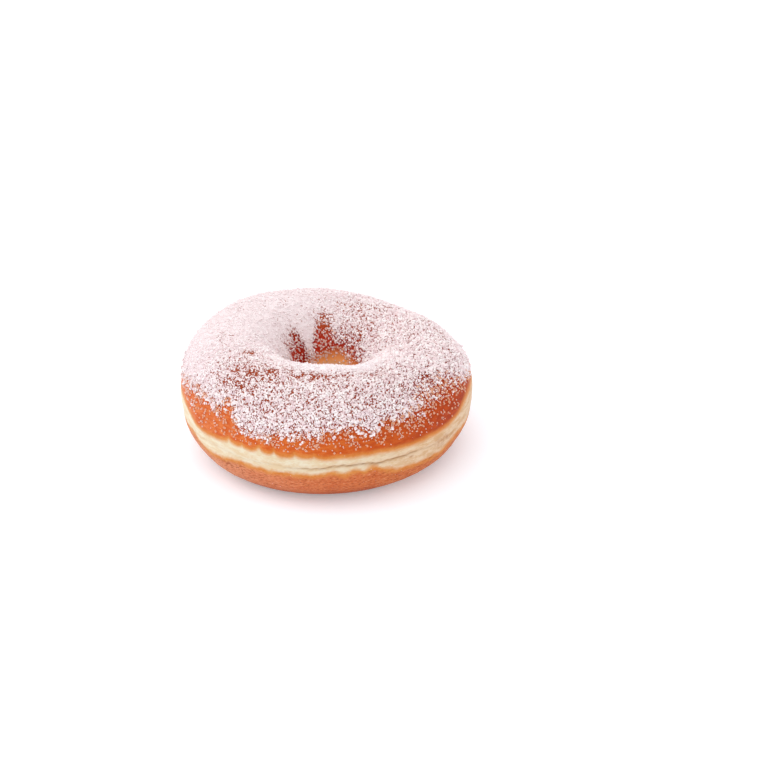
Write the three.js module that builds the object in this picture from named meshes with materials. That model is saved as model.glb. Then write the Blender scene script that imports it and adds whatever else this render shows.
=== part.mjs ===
// A sugared ring doughnut: one fried ring of yeast dough with a pale band round its waist, a creased seam
// low on that band, puckers in its hole and coarse sugar on top. Millimetres and degrees, Z up, with the
// origin under the middle of the base. "Around" runs round the hole, from 0 at +X. "Across" runs round the
// section: 0 at the waist, 90 on the crest, 180 on the wall of the hole and 270 underneath.
import * as THREE from "three";

// Driving dimensions
const OUTER_DIAMETER = 90;
const HOLE_DIAMETER = 22;
const HEIGHT = 36.8;
const REST_DEPTH = 0.6; // how far the ring's own weight flattens its underside
const FULLNESS = 2.15; // the section's power: 2 is an ellipse, and more is squarer

const RING_RADIUS = (OUTER_DIAMETER + HOLE_DIAMETER) / 4;
const HALF_WIDTH = (OUTER_DIAMETER - HOLE_DIAMETER) / 4;
const HALF_HEIGHT = (HEIGHT + REST_DEPTH) / 2;
const WAIST_HEIGHT = HALF_HEIGHT - REST_DEPTH;

// Unevenness from proving and frying: waves with a number of crests round the ring, the first of them "at"
const SIDE_WAVES = [
  { crests: 1, depth: 1.15, at: 69 },
  { crests: 2, depth: 0.4, at: -14 },
  { crests: 3, depth: 0.16, at: 35 },
];
const CREST_WAVES = [
  { crests: 1, depth: 3.2, at: 180 },
  { crests: 2, depth: 0.9, at: 114 },
];
// Shallow dents and swells of the skin, which also run across the section and end above the underside
const SKIN_WAVES = [
  { around: 7, across: 2, depth: 0.14, at: 30 },
  { around: 5, across: -3, depth: 0.14, at: 110 },
  { around: 11, across: 3, depth: 0.1, at: 200 },
];
const SWELL_FROM_HEIGHT = 2;
const SWELL_FULL_HEIGHT = 8;

// The pale band and its seam, as heights at the waist
const SEAM_HEIGHT = 14.4;
const SEAM_WIDTH = 0.9;
const SEAM_DEPTH = 0.55;
const SEAM_WANDER = [
  { crests: 9, depth: 0.22, at: 12 },
  { crests: 4, depth: 0.2, at: 60 },
];
const SEAM_REACH = { at: 288, width: 45 }; // the seam is deepest here, and fades round the back
const SEAM_LEAST = 0.3; // the share of its depth that the seam keeps all round
const BAND_MIDDLE = 15.5;
const BAND_WIDTH = 4;
const BAND_INSET = 0.35;

// Puckers down the wall of the hole: a ridge has a positive depth, a hollow a negative one
const PUCKERS = [
  { at: 115, width: 11, depth: 1.2 },
  { at: 132, width: 11, depth: -1.0 },
  { at: 82, width: 20, depth: -1.2 },
  { at: 42, width: 18, depth: 1.1 },
  { at: 168, width: 16, depth: 0.9 },
  { at: 206, width: 14, depth: -0.9 },
  { at: 248, width: 18, depth: 0.8 },
  { at: 292, width: 13, depth: -1.0 },
  { at: 330, width: 16, depth: 0.7 },
];
const PUCKER_ACROSS = { at: 168, width: 42 };

// The sugar coat: its lower edge on the outside, and where that hangs lower (positive) or stops short
const COAT_EDGE = 27;
const COAT_TONGUES = [
  { at: 225, width: 6, drop: -8 },
  { at: 249, width: 20, drop: 13 },
  { at: 267, width: 4, drop: 4 },
  { at: 288, width: 12, drop: 2.5 },
  { at: 322, width: 17, drop: -17 },
  { at: 20, width: 26, drop: 9 },
  { at: 80, width: 20, drop: 4 },
  { at: 128, width: 18, drop: 10 },
  { at: 165, width: 9, drop: 4 },
];
const COAT_INNER_EDGE = 158;
const COAT_FADE = 5; // how softly the coat ends, in degrees across
const COAT_THICKNESS = 0.35;
const COAT_ROUGHNESS = 0.16;
// Places where the coat is thin
const THIN_SPOTS = [
  { around: 229, across: 72, reach: [11, 20], loss: 0.6 },
  { around: 265, across: 80, reach: [14, 7], loss: 0.45 },
  { around: 82, across: 152, reach: [20, 16], loss: 0.8 },
  { around: 130, across: 160, reach: [9, 14], loss: 0.7 },
  { around: 318, across: 52, reach: [14, 12], loss: 0.5 },
  { around: 20, across: 60, reach: [12, 16], loss: 0.45 },
];

// The largest sugar crystals and clumps, which stand out singly, as four-sided points on the coat
const CRYSTAL_COUNT = 520;
const CRYSTAL_RADIUS = [0.5, 0.8];
const CRYSTAL_HEIGHT = [0.45, 0.7];
const CRYSTAL_SIDES = 4;
const STRAY_SHARE = 0.05; // crystals on the bare crust, beside those on the coat
const STRAY_ACROSS = [2, 165]; // where crystals lie, in degrees across
const CELL_MARGIN = 0.06; // the share of a cell that a crystal leaves free along each edge

// The grid of the skin: steps round the ring, and steps in degrees across it
const STEPS_AROUND = 80;
const STEP_ACROSS = 10;
const UNDERSIDE = { from: -150, to: -30, step: 15 };
const BAND_ROWS = { from: -20, to: 6, step: 3 };
const LOOSENESS = 0.22; // how far the grid's points stray under the coat, as a share of a step
const SEED = 20417;

const rad = THREE.MathUtils.degToRad;
const wave = (crests, turn, at) => Math.cos(crests * rad(turn - at));
const sumOver = (list, term) => list.reduce((sum, item) => sum + term(item), 0);
const power = (value) => Math.sign(value) * Math.abs(value) ** (2 / FULLNESS);

// The shorter way from one angle to another, and a smooth bump round an angle
const turnBetween = (a, b) => THREE.MathUtils.euclideanModulo(a - b + 180, 360) - 180;
const bump = (angle, at, width) => Math.exp(-((turnBetween(angle, at) / width) ** 2));
const tongue = (angle, at, width) => Math.exp(-((turnBetween(angle, at) / width) ** 4));

// A repeatable random number from 0 to 1
function makeRandom(seed) {
  let state = seed;
  return () => {
    state = (state * 1664525 + 1013904223) % 4294967296;
    return state / 4294967296;
  };
}

// How much of the skin the sugar covers at a place, from 0 to 1
function sugarCover(around, across) {
  const edge = COAT_EDGE - sumOver(COAT_TONGUES, (t) => t.drop * tongue(around, t.at, t.width));
  const outer = THREE.MathUtils.smoothstep(across, edge - COAT_FADE, edge + COAT_FADE);
  const inner = 1 - THREE.MathUtils.smoothstep(across, COAT_INNER_EDGE - 3 * COAT_FADE, COAT_INNER_EDGE + COAT_FADE);
  const kept = THIN_SPOTS.reduce((share, spot) => {
    const near = bump(around, spot.around, spot.reach[0]) * bump(across, spot.across, spot.reach[1]);
    return share * (1 - spot.loss * near);
  }, 1);
  return outer * inner * kept;
}

// How far the skin is pushed in at the outside by the band and its seam
function waistInset(around, height) {
  const seamShare = SEAM_LEAST + (1 - SEAM_LEAST) * bump(around, SEAM_REACH.at, SEAM_REACH.width);
  const seamHeight = SEAM_HEIGHT + sumOver(SEAM_WANDER, (w) => w.depth * wave(w.crests, around, w.at));
  const seam = SEAM_DEPTH * seamShare * Math.exp(-(((height - seamHeight) / SEAM_WIDTH) ** 2));
  const band = BAND_INSET * Math.exp(-(((height - BAND_MIDDLE) / BAND_WIDTH) ** 2));
  return seam + band;
}

// A point of the skin. Lift is how far it stands out along the section.
function skinPoint(around, across, lift = 0) {
  const outward = power(Math.cos(rad(across)));
  const upward = power(Math.sin(rad(across)));
  const crest = upward > 0 ? sumOver(CREST_WAVES, (w) => w.depth * wave(w.crests, around, w.at)) : 0;
  const height = WAIST_HEIGHT + (HALF_HEIGHT + crest) * upward;
  let halfWidth = HALF_WIDTH;
  if (outward > 0) {
    halfWidth += sumOver(SIDE_WAVES, (w) => w.depth * wave(w.crests, around, w.at));
    halfWidth -= waistInset(around, height);
  } else {
    const down = bump(across, PUCKER_ACROSS.at, PUCKER_ACROSS.width);
    halfWidth += down * sumOver(PUCKERS, (p) => p.depth * bump(around, p.at, p.width));
  }
  const swell = sumOver(SKIN_WAVES, (w) => w.depth * Math.cos(rad(w.around * around + w.across * across + w.at)));
  const stand = lift + swell * THREE.MathUtils.smoothstep(height, SWELL_FROM_HEIGHT, SWELL_FULL_HEIGHT);
  const radius = RING_RADIUS + halfWidth * outward + stand * Math.cos(rad(across));
  return new THREE.Vector3(
    radius * Math.cos(rad(around)),
    radius * Math.sin(rad(around)),
    Math.max(0, height + stand * Math.sin(rad(across))),
  );
}

// The angles of the grid's rows across the section
function rowAngles() {
  const zones = [UNDERSIDE, BAND_ROWS];
  const rows = [];
  let across = -180;
  while (across < 180) {
    rows.push(across);
    const zone = zones.find(({ from, to }) => across >= from && across < to);
    across += zone ? zone.step : STEP_ACROSS;
  }
  return rows;
}

// A cell of the grid: its four corners, with the numbers of their points
function makeCell(grid, i, j) {
  const corner = (di, dj) => ((i + di) % STEPS_AROUND) * grid.rows.length + ((j + dj) % grid.rows.length);
  const numbers = [corner(0, 0), corner(1, 0), corner(1, 1), corner(0, 1)];
  const corners = numbers.map((number) => grid.points[number]);
  const alongRing = corners[1].clone().sub(corners[0]);
  const alongSection = corners[3].clone().sub(corners[0]);
  return {
    numbers,
    corners,
    width: Math.min(alongRing.length(), corners[2].distanceTo(corners[3])),
    height: Math.min(alongSection.length(), corners[1].distanceTo(corners[2])),
    normal: alongRing.cross(alongSection).normalize(),
    around: (360 * (i + 0.5)) / STEPS_AROUND,
    across: (grid.rows[j] + (grid.rows[j + 1] ?? 180)) / 2,
  };
}

// The place in a cell at u along the ring and v along the section, both from 0 to 1
function placeInCell(cell, u, v) {
  const low = cell.corners[0].clone().lerp(cell.corners[1], u);
  const high = cell.corners[3].clone().lerp(cell.corners[2], u);
  return low.lerp(high, v);
}

// A plain cell, as two triangles
function addPlainCell(grid, cell) {
  const [a, b, c, d] = cell.numbers;
  grid.triangles.push(a, b, c, a, c, d);
}

// A cell with a crystal on it: its four-sided foot is set in the cell, and its walls meet in a point
function addCrystalCell(grid, cell, random) {
  const pick = ([low, high]) => low + (high - low) * random();
  const spare = 1 - 2 * CELL_MARGIN;
  const radius = Math.min(pick(CRYSTAL_RADIUS), (spare * cell.width) / 2, (spare * cell.height) / 2);
  const reach = [radius / cell.width, radius / cell.height];
  const middle = reach.map((share) => CELL_MARGIN + share + (spare - 2 * share) * random());
  const turn = (Math.PI / CRYSTAL_SIDES) * (2 * random() - 1);
  const foot = [];
  for (let k = 0; k < CRYSTAL_SIDES; k++) {
    const angle = turn + (2 * Math.PI * (k - 1.5)) / CRYSTAL_SIDES;
    const u = middle[0] + reach[0] * Math.cos(angle);
    const v = middle[1] + reach[1] * Math.sin(angle);
    foot.push(grid.points.push(placeInCell(cell, u, v)) - 1);
  }
  const tip = placeInCell(cell, ...middle).addScaledVector(cell.normal, pick(CRYSTAL_HEIGHT));
  const tipNumber = grid.points.push(tip) - 1;
  for (let k = 0; k < CRYSTAL_SIDES; k++) {
    const next = (k + 1) % CRYSTAL_SIDES;
    const [outer, outerNext, inner, innerNext] = [cell.numbers[k], cell.numbers[next], foot[k], foot[next]];
    // The side between cell and foot is split along its shorter diagonal
    if (turn < 0) grid.triangles.push(outer, outerNext, innerNext, outer, innerNext, inner);
    else grid.triangles.push(outer, outerNext, inner, outerNext, innerNext, inner);
    grid.triangles.push(inner, innerNext, tipNumber);
  }
}

// Chooses the cells that carry a crystal: more where the coat is full and the cells are large
function chooseCrystalCells(cells, random) {
  const biggest = Math.max(...cells.map((cell) => cell.width));
  const chosen = new Set();
  while (chosen.size < CRYSTAL_COUNT) {
    const cell = cells[Math.floor(cells.length * random())];
    const wanted = (cell.width / biggest) * Math.max(sugarCover(cell.around, cell.across), STRAY_SHARE);
    const inReach = cell.across > STRAY_ACROSS[0] && cell.across < STRAY_ACROSS[1];
    if (inReach && random() < wanted) chosen.add(cell);
  }
  return chosen;
}

// A point of the grid: on the bare skin it is regular, and under the coat it strays and stands out unevenly
function gridPoint(around, across, random) {
  const cover = sugarCover(around, across);
  const stray = () => LOOSENESS * cover * (2 * random() - 1);
  const strayAround = around + (360 / STEPS_AROUND) * stray();
  const strayAcross = across + STEP_ACROSS * stray();
  const grit = COAT_ROUGHNESS * (2 * random() - 1);
  return skinPoint(strayAround, strayAcross, cover * (COAT_THICKNESS + grit));
}

// The dough with its sugar coat and crystals, as one closed grid
function ringGeometry() {
  const random = makeRandom(SEED);
  const grid = { rows: rowAngles(), points: [], triangles: [] };
  for (let i = 0; i < STEPS_AROUND; i++) {
    for (const across of grid.rows) grid.points.push(gridPoint((360 * i) / STEPS_AROUND, across, random));
  }
  const cells = [];
  for (let i = 0; i < STEPS_AROUND; i++) {
    for (let j = 0; j < grid.rows.length; j++) cells.push(makeCell(grid, i, j));
  }
  const chosen = chooseCrystalCells(cells, random);
  for (const cell of cells) {
    if (chosen.has(cell)) addCrystalCell(grid, cell, random);
    else addPlainCell(grid, cell);
  }
  return new THREE.BufferGeometry().setFromPoints(grid.points).setIndex(grid.triangles);
}

// Moves a geometry so that the origin is under the middle of its base
function centreOnBase(geometry) {
  geometry.computeBoundingBox();
  const middle = geometry.boundingBox.getCenter(new THREE.Vector3());
  return geometry.translate(-middle.x, -middle.y, -geometry.boundingBox.min.z);
}

function makeRingDoughnut() {
  const crust = new THREE.MeshStandardMaterial({ color: 0xd9823f, roughness: 0.55, metalness: 0 });
  const mesh = new THREE.Mesh(centreOnBase(ringGeometry()), crust);
  mesh.name = "ring_doughnut";
  return mesh;
}

const doughnut = new THREE.Group();
doughnut.add(makeRingDoughnut());
export default doughnut;
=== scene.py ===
# A sugared ring doughnut: the dough as one fine skin in place of its plain solid, with its browned crust,
# pale waist and creased seam, and the sugar as loose crystals over a fine dusting. Sizes are in millimetres
# and angles in degrees, and a mesh is brought to metres at the end of its tree. "Around" runs round the hole,
# from 0 at +X. "Across" runs round the section: 0 at the waist, 90 on the crest, 180 on the hole's wall.
import math
import bpy
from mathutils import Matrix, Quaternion, Vector


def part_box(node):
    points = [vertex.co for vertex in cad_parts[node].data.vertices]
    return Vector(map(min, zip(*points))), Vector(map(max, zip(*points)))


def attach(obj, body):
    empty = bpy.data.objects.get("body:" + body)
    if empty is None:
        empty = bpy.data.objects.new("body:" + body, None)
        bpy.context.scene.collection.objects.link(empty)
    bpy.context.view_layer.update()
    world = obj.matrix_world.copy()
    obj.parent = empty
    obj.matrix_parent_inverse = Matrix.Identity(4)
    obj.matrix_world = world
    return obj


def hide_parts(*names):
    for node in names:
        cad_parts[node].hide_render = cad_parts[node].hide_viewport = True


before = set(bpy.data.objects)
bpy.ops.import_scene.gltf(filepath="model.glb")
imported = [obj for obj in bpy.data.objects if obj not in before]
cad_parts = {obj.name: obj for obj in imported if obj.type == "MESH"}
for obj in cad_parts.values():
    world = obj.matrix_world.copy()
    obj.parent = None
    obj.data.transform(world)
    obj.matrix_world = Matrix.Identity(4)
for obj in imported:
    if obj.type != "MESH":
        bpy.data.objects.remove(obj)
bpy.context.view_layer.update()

MM = 0.001
NODE = "ring_doughnut"

# The ring, as its solid has it
OUTER_DIAMETER = 90
HOLE_DIAMETER = 22
HEIGHT = 36.8
REST_DEPTH = 0.6
FULLNESS = 2.15
RING_RADIUS = (OUTER_DIAMETER + HOLE_DIAMETER) / 4
HALF_WIDTH = (OUTER_DIAMETER - HOLE_DIAMETER) / 4
HALF_HEIGHT = (HEIGHT + REST_DEPTH) / 2
WAIST_HEIGHT = HALF_HEIGHT - REST_DEPTH

# Waves round the ring: how many crests, how deep in mm, and where the first crest is
SIDE_WAVES = [(1, 1.15, 69), (2, 0.4, -14), (3, 0.16, 35)]
CREST_WAVES = [(1, 3.2, 180), (2, 0.9, 114)]
# Shallow swells: crests around, crests across, depth in mm, and turn
SKIN_WAVES = [(7, 2, 0.14, 30), (5, -3, 0.14, 110), (11, 3, 0.1, 200)]
SWELL_HEIGHTS = (2, 8)

# Puckers on the hole's wall: where, how wide, and how far they stand in
PUCKERS = [
    (115, 11, 1.2), (132, 11, -1.0), (82, 20, -1.2), (42, 18, 1.1), (168, 16, 0.9),
    (206, 14, -0.9), (248, 18, 0.8), (292, 13, -1.0), (330, 16, 0.7),
]
PUCKER_ACROSS = (168, 42)

# The pale band round the waist, by the heights of its edges, which rise and fall: where, how wide, how high
BAND_MIDDLE = 15.5
BAND_WIDTH = 4
BAND_INSET = 0.35
BAND_TOP = 18.0
BAND_TOP_RISES = [(188, 16, 4.6), (352, 20, 4.5), (95, 40, 1.5)]
BAND_LOW = 12.1
BAND_LOW_RISES = [
    (197, 9, 1.6), (217, 9, -1.0), (271, 3, 0.9), (280.5, 2.6, 0.9), (287.5, 2.8, 1.2), (309, 17, -2.2),
    (70, 40, -1.4), (140, 25, 1.2),
]
# Notches, where the crust's lower edge stops short: where, how wide, how high
NOTCHES = [
    (227, 1.5, 1.2), (234, 1.3, 1.0), (242, 1.5, 1.8), (248.5, 1.2, 1.4), (257, 1.6, 1.3), (264.5, 1.4, 0.8),
    (283, 1.5, 0.5), (26, 1.6, 1.1), (35, 1.3, 1.4), (44, 1.7, 0.9), (128, 1.4, 1.2), (137, 1.6, 1.5),
    (145, 1.3, 0.9),
]
NOTCH_CREASE = 0.22  # how deep a crease runs up the crust from a notch
NOTCH_CREASE_REACH = (1.5, 3)  # how far over the band's top its middle is, and how far it reaches
INNER_BAND = (22.0, 11.0)  # the heights of the pale band's edges in the hole
INNER_BAND_RISES = [(136, 13, -5.0), (60, 22, 1.0)]  # where its upper edge rises (positive) or falls
INNER_BAND_SOFTNESS = (0.4, 0.5)  # a millimetre at its two edges counts as this much at the outer ones
# How far the band's edges stray, in mm, and how much of that shows at the lower edge and at the top one
BAND_STRAY_HEIGHT = 1.4
BAND_FRAY_HEIGHT = 0.9
LOW_EDGE_STRAY = 1.4
LOW_EDGE_FRAY = 2.2
TOP_EDGE_FRAY = 0.4

# The seam in the band: a wandering crease, open at the front and closed at the back
SEAM_HEIGHT = 14.4
SEAM_WANDER = [(12, 0.36, 277), (5, 0.14, 60), (31, 0.12, 5), (67, 0.06, 2), (101, 0.05, 1)]
SEAM_REACH = (284, 26)
SEAM_LEAST = 0.18
SEAM_FOLD = (0.9, 0.3)  # the width and depth of the soft fold
SEAM_SLIT = (0.2, 0.45)  # the width and depth of the slit in it

# Scuffs, where the dough is rough and brown: where, at what height, how wide, how high, and how strong
SCUFFS = [
    (224, 9.6, 2.6, 0.9, 1.0), (231, 10.6, 3.0, 0.5, 0.6), (304, 13.4, 0.7, 0.3, 1.0),
    (313, 10.0, 2.6, 0.35, 0.9), (322, 13.6, 6.0, 1.6, 0.6), (203, 11.5, 5.0, 0.8, 0.6),
    (30, 12.0, 4.0, 0.8, 0.8), (150, 10.5, 5.0, 0.7, 0.8),
]

# The sugar coat: its edge on the outside, where it hangs lower (positive) or stops short
COAT_EDGE = 27
COAT_TONGUES = [
    (206, 16, -4), (226.5, 3.6, -11), (241, 11, 13), (260, 9, 8), (287, 3, 6), (326, 17, -16),
    (20, 26, 9), (80, 20, 4), (128, 18, 10), (165, 9, 4),
]
# Its edge in the hole, where it hangs lower (positive) or stops short
COAT_INNER_EDGE = 154
INNER_TONGUES = [
    (115, 8, 13), (128, 8, -7), (151, 9, -3), (92, 13, -18), (60, 20, -3), (10, 16, 8), (168, 12, 10),
    (206, 14, -12), (248, 18, 10), (292, 13, -14), (330, 16, 8),
]
COAT_FADE = 6  # the half width of the stretch over which the outer edge thins out
WIDE_FADES = [(322, 20, 15), (150, 20, 5)]  # where the edge thins out over a wider stretch
INNER_FADE = 17  # the same for the inner edge
COAT_THICKNESS = 0.35
EDGE_RAGGED = 7  # how far the coat's edge strays, in degrees across
# Thin spots, streaked with bare crust: where around and across, how far they reach, and the share lost
THIN_SPOTS = [
    (228, 72, 13, 8, 0.9), (226, 54, 11, 5, 0.8), (214, 93, 6, 5, 0.9), (241, 82, 5, 6, 0.9),
    (256, 85, 15, 6, 0.75), (300, 66, 20, 10, 0.12), (90, 128, 12, 14, 0.65), (128, 162, 8, 12, 1.0),
    (128, 142, 8, 11, 0.55), (148, 144, 12, 12, 0.5), (49, 138, 15, 15, 0.5), (320, 50, 18, 12, 0.5),
    (184, 80, 10, 8, 0.4), (150, 85, 6, 6, 0.35), (62, 100, 16, 10, 0.2), (20, 60, 12, 16, 0.4),
    (285, 84, 24, 5, 0.7), (104, 96, 30, 9, 0.3),
]
# The side where the sugar lies packed and smooth, and the imported ridge along the hole's near rim, heaped
# sugar whose white is partly a painted highlight
PACKED_SIDE = (140, 66)
PACKED_LOSS = 0.45  # the share that its sparse specks have lost
PACKED_RIDGE = (277, 35, 105, 12)
RIDGE_RAGGED = 7  # how far the ridge strays, in degrees across
PACKED_DUST = 0.62  # how much of the dust lies only where the sugar is packed
PACKED_GRAINS = 0.8  # how many of the larger grains packed sugar lacks
PACKED_SMOOTHNESS = 0.6  # how much of the grit it lacks
PACKED_TINT = 0.7  # how far it takes a colour of its own
GRAINY_SHARE = 0.96  # how much of the skin the looser sugar covers
# Shares that vary in patches: the least, and how much more there is where a patch is full
RIDGE_SHARES = (0.6, 0.4)
CLUSTER_SHARES = (0.68, 0.32)
LOOSE_SHARES = (0.12, 0.6)
LOOSE_INSIDE_SHARES = (0.15, 0.35)
CLUMP_SHARES = (0.15, 0.85)
# Loose grains: how far below the coat's edge they thin out, in degrees across, where more of them hang,
# over what width and how many, how far above the band they start, and at what heights in the hole
LOOSE_REACH = 15
LOOSE_HEAPS = [(268, 17, 0.35), (316, 20, 0.5)]
LOOSE_ABOVE = (1.0, 3.5)
LOOSE_INSIDE_HEIGHTS = (18, 26)
# Clumps: how far from the coat's edge they lie, how much lower in the heaps, and how far above the band
CLUMP_REACH = 7
CLUMP_DROP = 10
CLUMP_ABOVE = (2.5, 4.5)
BROWNED_SHADED_SIDE = (335, 60)  # where the crust is browned most, partly by frying and partly as painted shade away from the lamp, and over what width
PALE_LIT_SIDE = (190, 60)  # where it is palest, partly paler crust and partly a painted sheen on the lamp's side
HOLE_STARTS = (118, 150)  # the degrees across over which the hole's own colours come in
HOLE_ENDS = (200, 240)  # and over which they go

# Streaks read a place that is drawn out round the hole: its radius, and its units to the degree across
STREAK_RADIUS = 13
STREAK_RISE = 0.33
# Noise over the skin: patches to the millimetre, or to the unit of the place that is drawn out, the number
# of finer layers, and the seed
BAND_STRAY = (0.16, 3, 5)
BAND_FRAY = (0.7, 3, 6)
COAT_STRAY = (0.22, 2, 1)
COAT_FRAY = (0.8, 2, 8)
GRIT = (0.9, 3, 2)
PORES = (0.55, 4, 3)
FINE_PORES = (1.3, 2, 13)
WRINKLES = (1.1, 3, 4)
SOLE_GRAIN = (3.4, 3, 12)
# The same for patches, and the values of the noise between which they rise from nothing to full
SCUFF_PATCHES = (1.1, 3, 7, 0.42, 0.56)
BARE_STREAKS = (0.75, 2, 9, 0.34, 0.52)
SPARSE_SPECKS = (1.4, 2, 17, 0.54, 0.68)
RIDGE_PATCHES = (0.6, 2, 15, 0.35, 0.6)
RIDGE_HEAPS = (0.35, 2, 14, 0.3, 0.65)
GRAIN_CLUSTERS = (0.95, 2, 10, 0.36, 0.6)
LOOSE_PATCHES = (0.3, 2, 11, 0.38, 0.6)
SOLE_STREAKS = (0.9, 3, 16, 0.42, 0.6)
# The finest relief, in mm, and how strong it is on the sole beside the rest of the skin
RIDGE_HEIGHT = 0.6
GRIT_HEIGHT = 0.35
PORE_HEIGHT = 0.2
FINE_PORE_SHARE = 0.6
WRINKLE_HEIGHT = 0.5
SCUFF_DEPTH = 0.3
SMOOTH_PORES = 0.35
SOLE_PORES = 1.4
SOLE_PORES_BELOW = (-0.5, 3)  # the millimetres below the band over which the sole's come in
PORE_HEIGHTS = (0.3, 3)  # the heights over which pores come in, above the flat part it rests on

# The fine skin's grid, closest at the waist
STEPS_AROUND = 520
STEPS_ACROSS = 188
CROWDING = 24
CROWDED_ACROSS = -9

# Sugar crystals, in metres: the field of the skin that says where each kind lies, and its other values
GRAIN_KINDS = {
    "sugar_dusty": {
        "Where": "sugar", "Grains per square metre": 2.5e6, "Smallest": 0.00018, "Largest": 0.00028,
        "Rise": 0.0, "Amber": 0.15, "Seed": 16,
    },
    "sugar_fine": {
        "Where": "sugar", "Grains per square metre": 2.5e6, "Smallest": 0.00026, "Largest": 0.00038,
        "Rise": 0.00002, "Amber": 0.2, "Seed": 11,
    },
    "sugar_medium": {
        "Where": "grains", "Grains per square metre": 2.9e6, "Smallest": 0.00036, "Largest": 0.0005,
        "Rise": 0.00008, "Amber": 0.2, "Seed": 12,
    },
    "sugar_coarse": {
        "Where": "grains", "Grains per square metre": 1.3e6, "Smallest": 0.00048, "Largest": 0.00068,
        "Rise": 0.00014, "Amber": 0.15, "Seed": 13,
    },
    "sugar_loose": {
        "Where": "loose", "Grains per square metre": 4.5e6, "Smallest": 0.00024, "Largest": 0.00066,
        "Rise": 0.00008, "Amber": 1.35, "Seed": 14,
    },
    "sugar_clumps": {
        "Where": "clumps", "Grains per square metre": 0.45e6, "Smallest": 0.0004, "Largest": 0.0007,
        "Rise": 0.00022, "Amber": 0.15, "Seed": 15, "Crystals together": 6, "Spread": 0.00038,
    },
}
# A crystal's sides, as shares of its size, and how much of its kind's amber it has
CRYSTAL_LEAST = (0.7, 0.6, 0.5)
CRYSTAL_MOST = (1.1, 1.0, 0.9)
AMBER_SHARES = (0.3, 1.0)
CRYSTAL_TURNS = (6.283, 6.283, 6.283)  # the most that it turns on each axis, in radians

# The camera, as fitted to the photo: 85 mm lens, its height over the horizon, and its distance and turn
LENS = 85
SENSOR = 36
FRAME_PIXELS = 768
CAMERA_ELEVATION = 28.825
CAMERA_DISTANCE = 572.8
CAMERA_ROLL = -2.252
AXIS_FOOT_PIXEL = (327.9, 440.3)  # where the hole's axis meets the floor in the photo

# The studio, in metres and watts: a white table, a sky that is brighter overhead, and one soft lamp
FLOOR_SIZE = 3.0
FLOOR_COLOUR = (0.86, 0.85, 0.9, 1)
FLOOR_GLOW_COLOUR = (0.78, 0.93, 0.97, 1)
FLOOR_GLOW = 0.28
SKY_LOW = 0.6
SKY_RISE = 0.8
KEY_PLACE = (-0.75, 0.1, 0.65)
KEY_SIZE = 0.7
KEY_POWER = 2.5

# Colours, from 0 to 255 as they look in the studio, where a white sheet has this brightness
LIGHT_LEVEL = 1.27
# CRUST_PALE and CRUST_TAWNY, for the pale side, are partly a painted sheen; CRUST_RED and CRUST_DEEP, for the
# browned side, partly painted shade
CRUST_PALE = (242, 138, 80)
CRUST_TAWNY = (224, 104, 46)
CRUST_ORANGE = (232, 100, 26)
CRUST_AMBER = (250, 134, 52)
CRUST_RED = (204, 78, 24)
CRUST_DEEP = (178, 60, 22)
HOLE_RED = (188, 34, 22)
HOLE_ORANGE = (210, 66, 36)
# painted shade: the crust between the sugar grains, darker where they shade it
COAT_GAP_SHADE = (128, 46, 36)
RIM_GOLD = (238, 160, 84)
RIM_AMBER = (230, 140, 62)
BAND_CREAM = (255, 242, 214)
BAND_IVORY = (247, 221, 180)
# BAND_TAN and BAND_BROWN, for the browned side, are partly painted shade
BAND_TAN = (248, 216, 180)
BAND_BROWN = (230, 182, 134)
SOLE_PALE = (238, 128, 68)
SOLE_ORANGE = (224, 104, 42)
# SOLE_AMBER and SOLE_BROWN, for the browned side, are partly painted shade, and SOLE_BLUSH, for the pale
# side, partly a painted sheen
SOLE_AMBER = (234, 144, 86)
SOLE_BROWN = (214, 114, 64)
SOLE_BLUSH = (246, 192, 156)
SOLE_FLECK = (248, 186, 142)
SOLE_SPECK = (150, 62, 34)
SOLE_STREAK = (204, 90, 44)
# painted shade on the sole where it meets the floor
SOLE_CONTACT_SHADE = (170, 76, 50)
SCUFF_BROWN = (170, 84, 44)
# painted shade in the seam's slit
SEAM_SLIT_SHADE = (168, 108, 62)
CRYSTAL_AMBER = (246, 180, 144)

# Colours of their own, from 0 to 255, whatever the light
HOLE_GOLD = (250, 172, 104)
DUST_WHITE = (238, 226, 229)
DUST_ROSE = (226, 206, 211)
CRYSTAL_WHITE = (254, 251, 253)
CRYSTAL_ROSE = (240, 224, 229)
PACKED_WHITE = (238, 225, 226)
# partly the packed sugar's white, partly a painted highlight along the hole's near rim
RIDGE_WHITE_AND_HIGHLIGHT = (245, 237, 239)

# The millimetres above the band's top edge, or below its lower one, over which each colour comes in
GOLD_ABOVE = (-1.7, 0.2)
CRUST_ABOVE = (-0.4, 1.7)
REDDER_ABOVE = (3, 9)
GOLD_BELOW = (-1.5, 0.4)
SOLE_BELOW = (-0.2, 2.2)
# painted shade: the sole darkens towards where it rests
CONTACT_SHADE_BELOW = (6, 12)

# The shares of single colours that are laid over others
REDDER_SHARE = 0.25
# how much painted shade darkens the crust under the sugar coat
COAT_GAP_SHADE_SHARE = 0.7
BLUSH_SHARE = 0.6
STREAK_SHARE = 0.5
STREAK_LOSS = 0.6  # how much of the streaks the pale side and the browned one lack; the tones of these sides are partly painted sheen and painted shade
FLECK_SHARE = 0.5
SPECK_SHARE = 0.75
# how much painted shade lies where the sole rests
CONTACT_SHADE_SHARE = 0.6
# how much painted shade lies in the seam's fold, in BAND_BROWN, and in its slit
FOLD_SHADE_SHARE = 0.3
SLIT_SHADE_SHARE = 0.8
SCUFF_SHARE = 0.8
TAN_BROWNING_AND_SHADE = (0.2, 1.0)  # how browned the band is where it turns from cream to tan, this browning being partly painted shade
# The values of the sole's grain over which its flecks come in, and its specks go
FLECK_LIMITS = (0.56, 0.66)
SPECK_LIMITS = (0.34, 0.46)

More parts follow.
